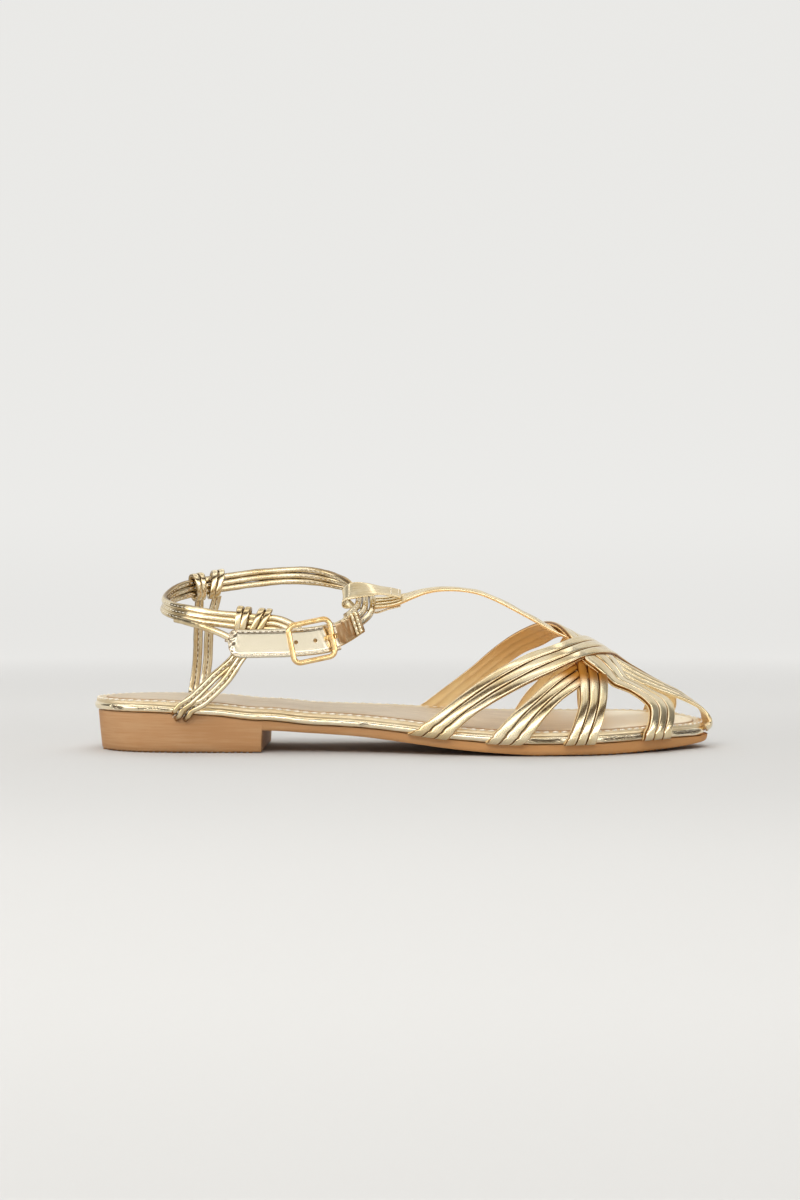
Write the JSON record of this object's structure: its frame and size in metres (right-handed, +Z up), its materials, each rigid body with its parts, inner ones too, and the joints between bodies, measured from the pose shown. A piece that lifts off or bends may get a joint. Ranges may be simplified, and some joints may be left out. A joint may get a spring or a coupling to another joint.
{
  "type": "huarache sandal",
  "caption": "Flat strappy sandal with woven vamp bands, a centre strap, a corded ankle strap with buckle, and a low stacked heel.",
  "frame": {"origin": "middle of the shoe's plan, on the plane that the heel and the forefoot stand on", "axes": "+X towards the toe, +Y towards the inner side of the foot, +Z up"},
  "size_m": [0.252, 0.0891, 0.0745],
  "materials": {
    "sole_rubber": "moulded tan rubber with a faint horizontal grain, satin",
    "sock_lining": "champagne sock lining, satin",
    "gold_leather": "mirror-foiled champagne gold leather with an ochre lining",
    "ochre_lining": "ochre lining leather and cut edges, matte",
    "buckle_brass": "polished yellow gold plating"
  },
  "bodies": {
    "root": {"outsole": "sole_rubber", "insole": "sock_lining", "upper": "gold_leather", "ankle_cord": "gold_leather", "heel_strap_outer": "gold_leather", "heel_strap_inner": "gold_leather", "buckle_strap": "gold_leather", "buckle_billet": "gold_leather", "buckle_frame": "buckle_brass", "buckle_prong": "buckle_brass"}
  },
  "joints": []
}
